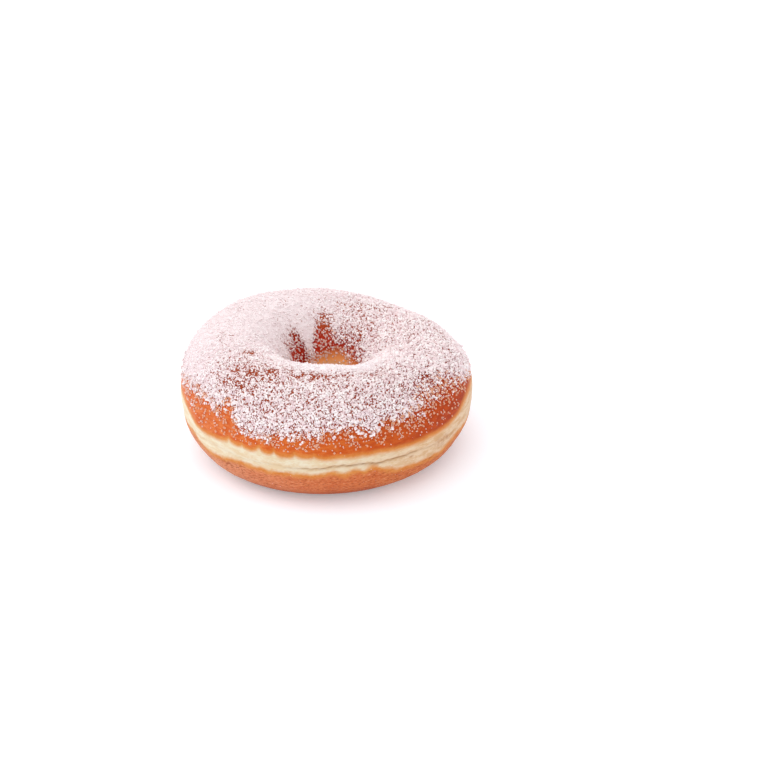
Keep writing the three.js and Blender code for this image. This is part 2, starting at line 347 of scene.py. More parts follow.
# Mottling: how much finer its small patches are, the share of each in it, and where it turns
SMALL_PATCHES = 5
LARGE_SHARE = 0.65
SMALL_SHARE = 0.35
MOTTLING_LIMITS = (0.4, 0.6)
# Its sizes, in patches to the unit of the place that is drawn out
CRUST_PATCHES = 1.1
BAND_PATCHES = 0.8
SOLE_PATCHES = 2.2
# And in patches to the metre, as for the finer noise below, which is written like the skin's
HOLE_PATCHES = 200
GOLD_PATCHES = 350
CRUST_GRAIN = (900, 3, 9)
DUST_SPECKS = (1700, 2, 3)
DUST_TONES = (750, 3, 4, 0.4, 0.62)

# Kinds of sockets
GEOMETRY = "NodeSocketGeometry"
NUMBER = "NodeSocketFloat"
WHOLE = "NodeSocketInt"
TEXT = "NodeSocketString"
COLOUR = "NodeSocketColor"
VECTOR = "NodeSocketVector"
MATERIAL = "NodeSocketMaterial"


# Node trees, written as arithmetic

class Field:
    """A number that varies over a surface. Arithmetic on it adds maths nodes to its tree."""

    def __init__(self, socket):
        self.socket = socket

    def __add__(self, other):
        return combine("ADD", self, other)

    def __radd__(self, other):
        return combine("ADD", other, self)

    def __sub__(self, other):
        return combine("SUBTRACT", self, other)

    def __rsub__(self, other):
        return combine("SUBTRACT", other, self)

    def __mul__(self, other):
        return combine("MULTIPLY", self, other)

    def __rmul__(self, other):
        return combine("MULTIPLY", other, self)

    def __truediv__(self, other):
        return combine("DIVIDE", self, other)

    def __rtruediv__(self, other):
        return combine("DIVIDE", other, self)

    def __neg__(self):
        return combine("MULTIPLY", self, -1)

    def __pow__(self, other):
        return combine("POWER", self, other)

    def do(self, operation, *others):
        return combine(operation, self, *others)


def feed(slot, value):
    """Links a field or a socket to a slot, or sets the slot to a plain value."""
    if isinstance(value, Field):
        value = value.socket
    if isinstance(value, bpy.types.NodeSocket):
        slot.id_data.links.new(value, slot)
    else:
        slot.default_value = value


def combine(operation, *values):
    """A maths node on these fields and numbers."""
    tree = next(value.socket.id_data for value in values if isinstance(value, Field))
    node = tree.nodes.new("ShaderNodeMath")
    node.operation = operation
    for slot, value in zip(node.inputs, values):
        feed(slot, value)
    return Field(node.outputs[0])


def add_node(tree, kind, settings=None, **inputs):
    """A node with its settings and inputs. An input's name has _ for each space."""
    node = tree.nodes.new(kind)
    for name, value in (settings or {}).items():
        setattr(node, name, value)
    for name, value in inputs.items():
        feed(node.inputs[name.replace("_", " ")], value)
    return node


def new_tree(name, kind, inputs, outputs):
    """A node group with named inputs, {name: (socket type, value)}, and outputs, {name: socket type}."""
    tree = bpy.data.node_groups.new(name, kind)
    for label, (socket, value) in inputs.items():
        made = tree.interface.new_socket(label, in_out="INPUT", socket_type=socket)
        if value is not None:
            made.default_value = value
    for label, socket in outputs.items():
        tree.interface.new_socket(label, in_out="OUTPUT", socket_type=socket)
    return tree, tree.nodes.new("NodeGroupInput").outputs, tree.nodes.new("NodeGroupOutput").inputs


def total(fields):
    result = None
    for field in fields:
        result = field if result is None else result + field
    return result


def clamped(field):
    return field.do("MAXIMUM", 0).do("MINIMUM", 1)


def smoothstep(value, low, high):
    """0 below low and 1 above high, with a smooth rise between them."""
    node = add_node(value.socket.id_data, "ShaderNodeMapRange", {"interpolation_type": "SMOOTHSTEP"})
    for slot, given in zip(node.inputs, (value, low, high)):
        feed(slot, given)
    return Field(node.outputs["Result"])


def cosine(degrees):
    return (degrees * math.radians(1)).do("COSINE")


def sine(degrees):
    return (degrees * math.radians(1)).do("SINE")


def waves(angle, crests_list):
    """Waves round the ring, each with its number of crests, its depth, and where the first crest is."""
    return total(cosine((angle - at) * crests) * depth for crests, depth, at in crests_list)


def near(angle, at, width, power=2):
    """1 at an angle, falling to 0 over about that width on both sides."""
    apart = (angle - at).do("WRAP", 180, -180).do("ABSOLUTE") / width
    return (-(apart ** power)).do("EXPONENT")


def hump(distance, width):
    """1 where a distance is 0, falling to 0 over about that width."""
    return (-((distance.do("ABSOLUTE") / width) ** 2)).do("EXPONENT")


def rises(angle, places, power=2):
    return total(near(angle, at, width, power) * rise for at, width, rise in places)


def vector(tree, x, y, z):
    return add_node(tree, "ShaderNodeCombineXYZ", X=x, Y=y, Z=z).outputs["Vector"]


def noise(tree, place, scale, detail, seed):
    """Smooth noise from about 0.25 to 0.75, of this many patches to the unit of place."""
    node = add_node(
        tree, "ShaderNodeTexNoise", {"noise_dimensions": "4D"},
        Vector=place, W=seed, Scale=scale, Detail=detail,
    )
    return Field(node.outputs[0])


def patches(tree, place, scale, detail, seed, low, high):
    """Patches cut from noise: 0 where it is below low, and 1 where it is above high."""
    return smoothstep(noise(tree, place, scale, detail, seed), low, high)


def patchy(shares, cover):
    """The least of a share, and more of it where patches cover."""
    least, more = shares
    return least + more * cover


# The dough's shape

class Skin:
    """The fields over the dough's skin, worked out from how far round the hole and the section a point is."""

    def __init__(self, tree, around, across, fullness, coat_thickness):
        self.tree = tree
        self.around = around
        self.across = across
        self.pucker = rises(around, PUCKERS)
        self.shape_section(fullness)
        radius = self.radius
        self.place = vector(tree, radius * cosine(around), radius * sine(around), self.height)
        self.along = vector(
            tree, cosine(around) * STREAK_RADIUS, sine(around) * STREAK_RADIUS, self.across * STREAK_RISE
        )
        self.lay_band()
        self.lay_sugar()
        self.stand_off(coat_thickness)

    def shape_section(self, fullness):
        """The bare ring: its distance from the hole's axis and its height."""
        bend = 2 / fullness
        flat, steep = cosine(self.across), sine(self.across)
        outward = flat.do("SIGN") * flat.do("ABSOLUTE") ** bend
        upward = steep.do("SIGN") * steep.do("ABSOLUTE") ** bend
        crest = waves(self.around, CREST_WAVES) * upward.do("GREATER_THAN", 0)
        self.height = WAIST_HEIGHT + (HALF_HEIGHT + crest) * upward
        self.outside = outward.do("GREATER_THAN", 0)
        self.open_seam()
        band = hump(self.height - BAND_MIDDLE, BAND_WIDTH)
        crease_rise, crease_reach = NOTCH_CREASE_REACH
        creases = rises(self.around, NOTCHES, 1) * hump(self.height - BAND_TOP - crease_rise, crease_reach)
        inset = band * BAND_INSET + self.fold * SEAM_FOLD[1] + self.slit * SEAM_SLIT[1]
        inset = inset + creases * NOTCH_CREASE
        side = waves(self.around, SIDE_WAVES) - inset
        dent = near(self.across, *PUCKER_ACROSS) * self.pucker
        half_width = HALF_WIDTH + side * self.outside + dent * (1 - self.outside)
        self.radius = RING_RADIUS + half_width * outward

    def open_seam(self):
        """The seam's soft fold and its slit, each from 0 to 1."""
        openness = SEAM_LEAST + (1 - SEAM_LEAST) * near(self.around, *SEAM_REACH, 4)
        apart = self.height - SEAM_HEIGHT - waves(self.around, SEAM_WANDER)
        self.fold = hump(apart, SEAM_FOLD[0]) * openness * self.outside
        self.slit = hump(apart, SEAM_SLIT[0]) * openness * self.outside

    def lay_band(self):
        """How far the skin is above the band's top edge and below its lower one, in mm, with ragged edges."""
        stray = (noise(self.tree, self.place, *BAND_STRAY) - 0.5) * BAND_STRAY_HEIGHT
        fray = (noise(self.tree, self.place, *BAND_FRAY) - 0.5) * BAND_FRAY_HEIGHT
        top = BAND_TOP + rises(self.around, BAND_TOP_RISES, 4) + rises(self.around, NOTCHES, 1) + stray
        low = BAND_LOW + rises(self.around, BAND_LOW_RISES, 4) + stray * LOW_EDGE_STRAY + fray * LOW_EDGE_FRAY
        above = self.height - top - fray * TOP_EDGE_FRAY
        below = low - self.height
        inner_top, inner_low = INNER_BAND
        top_softness, low_softness = INNER_BAND_SOFTNESS
        inner_above = (self.height - inner_top - rises(self.around, INNER_BAND_RISES)) * top_softness + stray
        inner_below = (inner_low - self.height) * low_softness
        self.above = above * self.outside + inner_above * (1 - self.outside)
        self.below = below * self.outside + inner_below * (1 - self.outside)
        self.scuff = total(
            near(self.around, at, width) * hump(self.height - level, reach) * strength
            for at, level, width, reach, strength in SCUFFS
        ) * patches(self.tree, self.place, *SCUFF_PATCHES) * self.outside

    def lay_sugar(self):
        """How thick the grains, the dust, the loose grains and the clumps lie, each from 0 to 1."""
        around, across = self.around, self.across
        stray = (noise(self.tree, self.place, *COAT_STRAY) - 0.5) * 2
        fray = (noise(self.tree, self.place, *COAT_FRAY) - 0.5) * 2
        edge = COAT_EDGE - rises(around, COAT_TONGUES, 4) + (stray + fray) * EDGE_RAGGED
        fade = COAT_FADE + rises(around, WIDE_FADES)
        outer = smoothstep(across, edge - fade, edge + fade)
        inner_edge = COAT_INNER_EDGE + rises(around, INNER_TONGUES) + fray * EDGE_RAGGED
        inner = 1 - smoothstep(across, inner_edge - INNER_FADE, inner_edge + INNER_FADE)
        self.coat = outer * inner
        self.pack_sugar(fray)
        kept_share = self.share_kept()
        clusters = patches(self.tree, self.place, *GRAIN_CLUSTERS)
        grainy = GRAINY_SHARE * patchy(CLUSTER_SHARES, clusters) * kept_share
        self.sugar = self.coat * inner * grainy.do("MAXIMUM", self.packed * kept_share)
        self.grains = self.coat * grainy * (1 - self.packed * PACKED_GRAINS)
        self.dust = self.coat * (kept_share * (self.packed * PACKED_DUST + (1 - PACKED_DUST)))
        self.strew_loose(edge, fade, outer, inner)

    def pack_sugar(self, fray):
        """Where the sugar lies packed: on one side, and in a ridge along the hole's near rim."""
        at_around, reach_around, at_across, reach_across = PACKED_RIDGE
        ridge = near(self.around, at_around, reach_around, 4)
        ridge = ridge * near(self.across, at_across + fray * RIDGE_RAGGED, reach_across, 4)
        self.ridge = ridge * patchy(RIDGE_SHARES, patches(self.tree, self.place, *RIDGE_PATCHES))
        self.packed = near(self.around, *PACKED_SIDE, 4).do("MAXIMUM", self.ridge)

    def share_kept(self):
        """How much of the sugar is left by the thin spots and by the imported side's sparse specks."""
        streaks = patches(self.tree, self.along, *BARE_STREAKS)
        share = None
        for at_around, at_across, reach_around, reach_across, loss in THIN_SPOTS:
            spot = near(self.around, at_around, reach_around) * near(self.across, at_across, reach_across)
            left = 1 - streaks * spot * loss
            share = left if share is None else share * left
        sparse = patches(self.tree, self.along, *SPARSE_SPECKS) * near(self.around, *PACKED_SIDE, 4)
        return share * (1 - sparse * PACKED_LOSS)

    def strew_loose(self, edge, fade, outer, inner):
        """Loose grains beyond both of the coat's edges, and clumps along the outer one."""
        groups = patches(self.tree, self.place, *LOOSE_PATCHES)
        heap = rises(self.around, LOOSE_HEAPS)
        short = (edge - self.across).do("MAXIMUM", 0)
        tail = (-(short / LOOSE_REACH)).do("EXPONENT") * (patchy(LOOSE_SHARES, groups) + heap) * (1 - outer)
        tail = tail * smoothstep(self.above, *LOOSE_ABOVE) * self.outside
        within = (1 - inner) * smoothstep(self.height, *LOOSE_INSIDE_HEIGHTS)
        within = within * patchy(LOOSE_INSIDE_SHARES, groups) * (1 - self.outside)
        self.loose = clamped(tail + within)
        rim = hump(self.across - edge + CLUMP_DROP * heap, CLUMP_REACH) * self.outside
        clumps = rim * smoothstep(self.above, *CLUMP_ABOVE) * patchy(CLUMP_SHARES, groups)
        self.clumps = clumps * (COAT_FADE / fade)

    def stand_off(self, coat_thickness):
        """How far the skin stands off the bare ring, under its sugar and in its swells."""
        around, across = self.around, self.across
        swell = total(cosine(around * a + across * c + turn) * depth for a, c, depth, turn in SKIN_WAVES)
        stand = self.coat * coat_thickness + swell * smoothstep(self.height, *SWELL_HEIGHTS)
        full_radius = self.radius + stand * cosine(across)
        full_height = (self.height + stand * sine(across)).do("MAXIMUM", 0)
        self.surface = vector(
            self.tree, full_radius * cosine(around), full_radius * sine(around), full_height
        )

    def kept_fields(self):
        """What the materials and the scatter read, by name."""
        return {
            "above": self.above,
            "below": self.below,
            "sugar": self.sugar,
            "grains": self.grains,
            "packed": self.packed,
            "ridge": self.ridge,
            "coat": self.coat,
            "dust": self.dust,
            "loose": self.loose,
            "clumps": self.clumps,
            "slit": self.slit,
            "fold": self.fold,
            "scuff": self.scuff,
            "hole": smoothstep(self.across, *HOLE_STARTS) * (1 - smoothstep(self.across, *HOLE_ENDS)),
            # browning with painted shade on one side, and paleness with a painted sheen on the other
            "browning": near(self.around, *BROWNED_SHADED_SIDE),
            "paleness": near(self.around, *PALE_LIT_SIDE),
        }


def closed_ring(tree, steps_around, steps_across):
    """A closed tube round a closed path, with how far round each of them every point is, from 0 to 1."""
    shares = []
    curves = []
    for steps in (steps_around, steps_across):
        circle = add_node(tree, "GeometryNodeCurvePrimitiveCircle", Resolution=steps, Radius=1.0)
        share = add_node(tree, "GeometryNodeSplineParameter")
        capture = add_node(tree, "GeometryNodeCaptureAttribute", {"domain": "POINT"})
        capture.capture_items.new("FLOAT", "Share")
        feed(capture.inputs["Geometry"], circle.outputs["Curve"])
        feed(capture.inputs["Share"], share.outputs["Factor"])
        curves.append(capture.outputs["Geometry"])
        shares.append(Field(capture.outputs["Share"]))
    tube = add_node(tree, "GeometryNodeCurveToMesh", Curve=curves[0], Profile_Curve=curves[1])
    outward = add_node(tree, "GeometryNodeFlipFaces", Mesh=tube.outputs["Mesh"])
    return outward.outputs["Mesh"], shares


def move_points(tree, mesh, **where):
    node = add_node(tree, "GeometryNodeSetPosition", Geometry=mesh, **where)
    return node.outputs["Geometry"]


def store(tree, mesh, name, value, domain="POINT", kind="FLOAT"):
    """Keeps a field on the mesh under a name, for the materials and the scatter."""
    settings = {"data_type": kind, "domain": domain}
    node = add_node(tree, "GeometryNodeStoreNamedAttribute", settings, Geometry=mesh, Name=name, Value=value)
    return node.outputs["Geometry"]


def scaled(tree, direction, length):
    node = add_node(tree, "ShaderNodeVectorMath", {"operation": "SCALE"}, Scale=length)
    feed(node.inputs[0], direction)
    return node.outputs["Vector"]


def finished(tree, mesh, material):
    """The end of every tree: one real mesh in its material."""
    real = add_node(tree, "GeometryNodeRealizeInstances", Geometry=mesh)
    dressed = add_node(tree, "GeometryNodeSetMaterial", Geometry=real.outputs["Geometry"], Material=material)
    return dressed.outputs["Geometry"]


def fine_relief(tree, skin, asked):
    """How far the grit, pores, wrinkles, scuffs and heaps stand off the skin, in mm."""
    here = add_node(tree, "GeometryNodeInputPosition").outputs["Position"]
    grit = (noise(tree, here, *GRIT) - 0.5) * Field(asked["Grit"]) * skin.coat
    grit = grit * (1 - skin.packed * PACKED_SMOOTHNESS)
    pores = noise(tree, here, *PORES) + noise(tree, here, *FINE_PORES) * FINE_PORE_SHARE
    pores = (pores - (1 + FINE_PORE_SHARE) / 2) * Field(asked["Pores"])
    pores = pores * (SMOOTH_PORES + SOLE_PORES * smoothstep(skin.below, *SOLE_PORES_BELOW))
    pores = pores * smoothstep(skin.height, *PORE_HEIGHTS)
    wrinkles = (noise(tree, skin.along, *WRINKLES) - 0.5) * WRINKLE_HEIGHT
    wrinkles = wrinkles * hump(skin.height - BAND_MIDDLE, BAND_WIDTH) * skin.outside
    heaped = Field(asked["Ridge"]) * skin.ridge * patches(tree, here, *RIDGE_HEAPS) * skin.coat
    return grit + pores + wrinkles - skin.scuff * SCUFF_DEPTH + heaped


def skin_tree():
    """The tree that makes the dough's skin from the named sizes."""
    inputs = {
        "Geometry": (GEOMETRY, None),
        "Steps around": (WHOLE, STEPS_AROUND),
        "Steps across": (WHOLE, STEPS_ACROSS),
        "Fullness": (NUMBER, FULLNESS),
        "Coat thickness": (NUMBER, COAT_THICKNESS),
        "Ridge": (NUMBER, RIDGE_HEIGHT),
        "Grit": (NUMBER, GRIT_HEIGHT),
        "Pores": (NUMBER, PORE_HEIGHT),
        "Material": (MATERIAL, None),
    }
    tree, asked, out = new_tree("Dough skin", "GeometryNodeTree", inputs, {"Geometry": GEOMETRY})
    mesh, (share_around, share_across) = closed_ring(tree, asked["Steps around"], asked["Steps across"])
    crowded = share_across * 360 - CROWDED_ACROSS
    across = (share_across * 360 - CROWDING * sine(crowded)).do("WRAP", 270, -90)
    skin = Skin(tree, share_around * 360, across, Field(asked["Fullness"]), Field(asked["Coat thickness"]))
    for name, field in skin.kept_fields().items():
        mesh = store(tree, mesh, name, field)
    mesh = store(tree, mesh, "along", skin.along, kind="FLOAT_VECTOR")
    mesh = move_points(tree, mesh, Position=skin.surface)

    facing = add_node(tree, "GeometryNodeInputNormal").outputs["Normal"]
    mesh = move_points(tree, mesh, Offset=scaled(tree, facing, fine_relief(tree, skin, asked)))

    shrink = add_node(tree, "GeometryNodeTransform", Geometry=mesh, Scale=(MM, MM, MM))
    smooth = add_node(tree, "GeometryNodeSetShadeSmooth", Geometry=shrink.outputs["Geometry"])
    feed(out["Geometry"], finished(tree, smooth.outputs["Geometry"], asked["Material"]))
    return tree


# Sugar crystals

def random_value(tree, low, high, seed):
    """A random number or, where the limits are threes of numbers, a random vector for each point."""
    several = isinstance(low, tuple)
    kind = "FLOAT_VECTOR" if several else "FLOAT"
    node = add_node(tree, "FunctionNodeRandomValue", {"data_type": kind}, Seed=seed)
    first = 0 if several else 2
    feed(node.inputs[first], low)
    feed(node.inputs[first + 1], high)
    return node.outputs[0 if several else 1]


def scatter_tree():
    """The tree that strews crystals over the skin, as thick as a field that the skin keeps says."""
    inputs = {
        "Geometry": (GEOMETRY, None),
        "Where": (TEXT, "sugar"),
        "Grains per square metre": (NUMBER, 1e6),
        "Crystals together": (WHOLE, 1),
        "Spread": (NUMBER, 0.0),
        "Smallest": (NUMBER, 0.0003),
        "Largest": (NUMBER, 0.0006),
        "Rise": (NUMBER, 0.0001),
        "Amber": (NUMBER, 0.0),
        "Seed": (WHOLE, 1),
        "Material": (MATERIAL, None),
    }
    tree, asked, out = new_tree("Sugar scatter", "GeometryNodeTree", inputs, {"Geometry": GEOMETRY})
    seed = asked["Seed"]
    share = Field(add_node(tree, "GeometryNodeInputNamedAttribute", Name=asked["Where"]).outputs["Attribute"])
    density = share * Field(asked["Grains per square metre"])
    scattered = add_node(
        tree, "GeometryNodeDistributePointsOnFaces", Mesh=asked["Geometry"], Density=density, Seed=seed
    )
    lifted = move_points(
        tree, scattered.outputs["Points"], Offset=scaled(tree, scattered.outputs["Normal"], asked["Rise"])
    )
    together = add_node(
        tree, "GeometryNodeDuplicateElements", {"domain": "POINT"},
        Geometry=lifted, Amount=asked["Crystals together"],
    )
    apart = scaled(tree, random_value(tree, (-1, -1, -1), (1, 1, 1), seed), asked["Spread"])
    points = move_points(tree, together.outputs["Geometry"], Offset=apart)
    size = random_value(tree, asked["Smallest"], asked["Largest"], seed)
    grains = add_node(
        tree, "GeometryNodeInstanceOnPoints", Points=points,
        Instance=add_node(tree, "GeometryNodeMeshCube", Size=(1.0, 1.0, 1.0)).outputs["Mesh"],
        Rotation=random_value(tree, (0, 0, 0), CRYSTAL_TURNS, seed),
        Scale=scaled(tree, random_value(tree, CRYSTAL_LEAST, CRYSTAL_MOST, seed), size),
    ).outputs["Instances"]
    packed = Field(add_node(tree, "GeometryNodeInputNamedAttribute", Name="packed").outputs["Attribute"])
    amber = Field(random_value(tree, *AMBER_SHARES, seed)) * Field(asked["Amber"])
    amber = amber * (1 - packed * PACKED_TINT)
    grains = store(tree, grains, "amber", amber, domain="INSTANCE")
    feed(out["Geometry"], finished(tree, grains, asked["Material"]))
    return tree


# Making pieces

def new_object(name, mesh=None):
    piece = bpy.data.objects.new(name, mesh or bpy.data.meshes.new(name))
    bpy.context.scene.collection.objects.link(piece)
    return piece


def grow(name, tree, start=None, **values):
    """Runs a tree on a start mesh, its inputs set by name, and keeps the result as a plain mesh."""
    piece = new_object(name, start.copy() if start else None)
    modifier = piece.modifiers.new(name, "NODES")
    modifier.node_group = tree
    sockets = {item.name: item.identifier for item in tree.interface.items_tree if item.in_out == "INPUT"}
    for label, value in values.items():
        modifier[sockets[label.replace("_", " ")]] = value
    depsgraph = bpy.context.evaluated_depsgraph_get()
    made = bpy.data.meshes.new_from_object(
        piece.evaluated_get(depsgraph), preserve_all_data_layers=True, depsgraph=depsgraph
    )
    piece.modifiers.remove(modifier)
    made.name = name
    piece.data = made
    return piece


def box_middle(low, high):
    return (Vector(low) + Vector(high)) / 2


def centre_on_frame(piece):
    """Moves a skin that is built round the hole's axis to where the solid stands, and gives the move."""
    corners = [vertex.co for vertex in piece.data.vertices]
    low = Vector(min(corner[k] for corner in corners) for k in range(3))
    high = Vector(max(corner[k] for corner in corners) for k in range(3))
    move = box_middle(*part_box(NODE)) - box_middle(low, high)
    move.z = -low.z
    for vertex in piece.data.vertices:
        vertex.co += move
    return move


# Materials

def new_material(name):
    material = bpy.data.materials.new(name)
    material.use_nodes = True
    return material, material.node_tree, material.node_tree.nodes["Principled BSDF"]


def own(colour):
    """A screen colour, from 0 to 255, as Blender's linear one."""
    def linear(value):
        share = value / 255
        return share / 12.92 if share <= 0.04045 else ((share + 0.055) / 1.055) ** 2.4
    return (*(linear(value) for value in colour), 1.0)


def seen(colour):
    """The surface colour that looks like this one, from 0 to 255, in the studio's light."""
    return (*(value / LIGHT_LEVEL for value in own(colour)[:3]), 1.0)


def mix(tree, share, first, second):
    node = tree.nodes.new("ShaderNodeMix")
    node.data_type = "RGBA"
    feed(node.inputs["Factor"], share)
    feed(node.inputs[6], first)
    feed(node.inputs[7], second)
    return node.outputs[2]


def kept(tree, name):
    """A field that the skin's tree kept on the mesh."""
    node = add_node(tree, "ShaderNodeAttribute", {"attribute_name": name, "attribute_type": "GEOMETRY"})
    return Field(node.outputs["Fac"])


def mottling_group():
    """Patches of two colours, large ones with finer ones in them."""
    inputs = {
        "Place": (VECTOR, None),
        "Patches": (NUMBER, 100.0),
        "Seed": (NUMBER, 0.0),
        "First": (COLOUR, (1, 1, 1, 1)),
        "Second": (COLOUR, (0, 0, 0, 1)),
    }
    tree, asked, out = new_tree("Mottling", "ShaderNodeTree", inputs, {"Colour": COLOUR})
    size = Field(asked["Patches"])
    large = noise(tree, asked["Place"], size, 3, asked["Seed"])
    small = noise(tree, asked["Place"], size * SMALL_PATCHES, 2, 7)
    share = smoothstep(large * LARGE_SHARE + small * SMALL_SHARE, *MOTTLING_LIMITS)
    feed(out["Colour"], mix(tree, share, asked["First"], asked["Second"]))
    return tree


def dusting_group():
    """Fine sugar dust: where it lies, its colour, and its relief."""
    inputs = {
        "Place": (VECTOR, None),
        "Cover": (NUMBER, 1.0),
        "White": (COLOUR, (1, 1, 1, 1)),
        "Rose": (COLOUR, (1, 0.8, 0.8, 1)),
    }
    outputs = {"Mask": NUMBER, "Colour": COLOUR, "Height": NUMBER}
    tree, asked, out = new_tree("Sugar dusting", "ShaderNodeTree", inputs, outputs)
    specks = noise(tree, asked["Place"], *DUST_SPECKS)
    mask = smoothstep(specks + Field(asked["Cover"]) * 0.5, 0.68, 0.8)
    tone = patches(tree, asked["Place"], *DUST_TONES)
    feed(out["Mask"], mask)
    feed(out["Colour"], mix(tree, tone, asked["White"], asked["Rose"]))
    feed(out["Height"], mask + specks * 0.5)
    return tree


class CrustPaint:
    """The dough's colours, laid over one another by the fields that its skin keeps."""

    def __init__(self, tree, mottling):
        self.tree = tree
        self.mottling = mottling
        self.place = add_node(tree, "ShaderNodeTexCoord").outputs["Object"]
        self.along = add_node(
            tree, "ShaderNodeAttribute", {"attribute_name": "along", "attribute_type": "GEOMETRY"}
        ).outputs["Vector"]
        # the browned side is partly painted shade, and the pale side partly a painted sheen
        self.browning = kept(tree, "browning")
        self.paleness = kept(tree, "paleness")
        self.hole = kept(tree, "hole")
        self.above = kept(tree, "above")
        self.below = kept(tree, "below")

    def mottled(self, where, size, seed, first, second):
        group = add_node(
            self.tree, "ShaderNodeGroup", {"node_tree": self.mottling},
            Place=where, Patches=size, Seed=seed, First=seen(first), Second=seen(second),
        )
        return group.outputs["Colour"]

    def painted(self, ground, share, colour):
        """A ground with this share of a colour over it."""
        return mix(self.tree, share, ground, colour)

    def upper(self):
        """Above the band: amber, tawny on the pale side, red where it is browned and in the hole, and darker
        under the sugar as painted shade between its grains. The pale side's tone is partly a painted sheen
        and the browned side's partly painted shade.
        """
        colour = self.mottled(self.along, CRUST_PATCHES, 1, CRUST_AMBER, CRUST_ORANGE)
        pale = self.mottled(self.along, CRUST_PATCHES, 1, CRUST_PALE, CRUST_TAWNY)
        brown = self.mottled(self.along, CRUST_PATCHES, 2, CRUST_RED, CRUST_DEEP)
        inside = self.mottled(self.place, HOLE_PATCHES, 3, HOLE_RED, HOLE_ORANGE)
        # the pale side partly as a painted sheen, and the browned side partly as painted shade
        colour = self.painted(colour, self.paleness, pale)
        colour = self.painted(colour, self.browning, brown)
        colour = self.painted(colour, self.hole, inside)
        colour = self.painted(colour, smoothstep(self.above, *REDDER_ABOVE) * REDDER_SHARE, seen(CRUST_RED))
        # painted shade: the crust under the sugar coat darkened where its grains shade it
        return self.painted(colour, kept(self.tree, "coat") * COAT_GAP_SHADE_SHARE, seen(COAT_GAP_SHADE))

    def gold(self):
        """The rims between the crust and the band."""
        rim = self.mottled(self.place, GOLD_PATCHES, 4, RIM_GOLD, RIM_AMBER)
        return self.painted(rim, self.hole, own(HOLE_GOLD))

    def band(self):
        """Cream round the waist, tan on the browned side, the tan being partly painted shade."""
        cream = self.mottled(self.along, BAND_PATCHES, 5, BAND_CREAM, BAND_IVORY)
        tan = self.mottled(self.along, BAND_PATCHES, 6, BAND_TAN, BAND_BROWN)
        return self.painted(cream, smoothstep(self.browning, *TAN_BROWNING_AND_SHADE), tan)

    def sole(self):
        """Below the band: orange brown in streaks and specks, and darkest where it rests, as painted shade.
        """
        colour = self.mottled(self.along, SOLE_PATCHES, 7, SOLE_PALE, SOLE_ORANGE)
        brown = self.mottled(self.along, SOLE_PATCHES, 8, SOLE_AMBER, SOLE_BROWN)
        front = 1 - (self.paleness + self.browning) * STREAK_LOSS
        grain = noise(self.tree, self.along, *SOLE_GRAIN)
        # the browned side partly as painted shade, and the pale side's blush partly as a painted sheen
        colour = self.painted(colour, self.browning, brown)
        colour = self.painted(colour, self.paleness * BLUSH_SHARE, seen(SOLE_BLUSH))
        streaks = patches(self.tree, self.along, *SOLE_STREAKS)
        colour = self.painted(colour, streaks * STREAK_SHARE * front, seen(SOLE_STREAK))
        colour = self.painted(colour, smoothstep(grain, *FLECK_LIMITS) * FLECK_SHARE, seen(SOLE_FLECK))
        specks = 1 - smoothstep(grain, *SPECK_LIMITS)
        colour = self.painted(colour, specks * SPECK_SHARE, seen(SOLE_SPECK))
        # painted shade where the sole rests on the floor
        return self.painted(colour, smoothstep(self.below, *CONTACT_SHADE_BELOW) * CONTACT_SHADE_SHARE, seen(SOLE_CONTACT_SHADE))

    def skin(self):
        """All of them, with painted shade in the seam's fold and slit, and the scuffs."""
        gold = self.gold()
        colour = self.painted(self.band(), smoothstep(self.above, *GOLD_ABOVE), gold)
        colour = self.painted(colour, smoothstep(self.above, *CRUST_ABOVE), self.upper())
        colour = self.painted(colour, smoothstep(self.below, *GOLD_BELOW), gold)
        colour = self.painted(colour, smoothstep(self.below, *SOLE_BELOW), self.sole())
        # painted shade in the seam's fold and slit
        colour = self.painted(colour, kept(self.tree, "fold") * FOLD_SHADE_SHARE, seen(BAND_BROWN))
        colour = self.painted(colour, kept(self.tree, "slit") * SLIT_SHADE_SHARE, seen(SEAM_SLIT_SHADE))
        return self.painted(colour, kept(self.tree, "scuff") * SCUFF_SHARE, seen(SCUFF_BROWN))


def crust_material(mottling, dusting):
    """Fried dough, dusted with sugar, with some painted shade and painted highlight in its colours."""
    material, tree, surface = new_material("sugared crust")
    paint = CrustPaint(tree, mottling)
    dust = add_node(
        tree, "ShaderNodeGroup", {"node_tree": dusting}, Place=paint.place, Cover=kept(tree, "dust"),
        White=own(DUST_WHITE), Rose=own(DUST_ROSE),
    )
    dusted = Field(dust.outputs["Mask"])
    powder = mix(tree, kept(tree, "packed") * PACKED_TINT, dust.outputs["Colour"], own(PACKED_WHITE))
    # the rim's ridge whiter, partly as a painted highlight
    powder = mix(tree, kept(tree, "ridge"), powder, own(RIDGE_WHITE_AND_HIGHLIGHT))
    feed(surface.inputs["Base Color"], mix(tree, dusted, paint.skin(), powder))
    feed(surface.inputs["Roughness"], 0.45 + 0.35 * dusted + 0.15 * smoothstep(paint.below, -1, 1))
    surface.inputs["Specular IOR Level"].default_value = 0.08
    grain = noise(tree, paint.place, *CRUST_GRAIN) * 0.6 + Field(dust.outputs["Height"])
    bump = add_node(tree, "ShaderNodeBump", Strength=0.5, Distance=0.0002, Height=grain)
    feed(surface.inputs["Normal"], bump.outputs["Normal"])
    return material


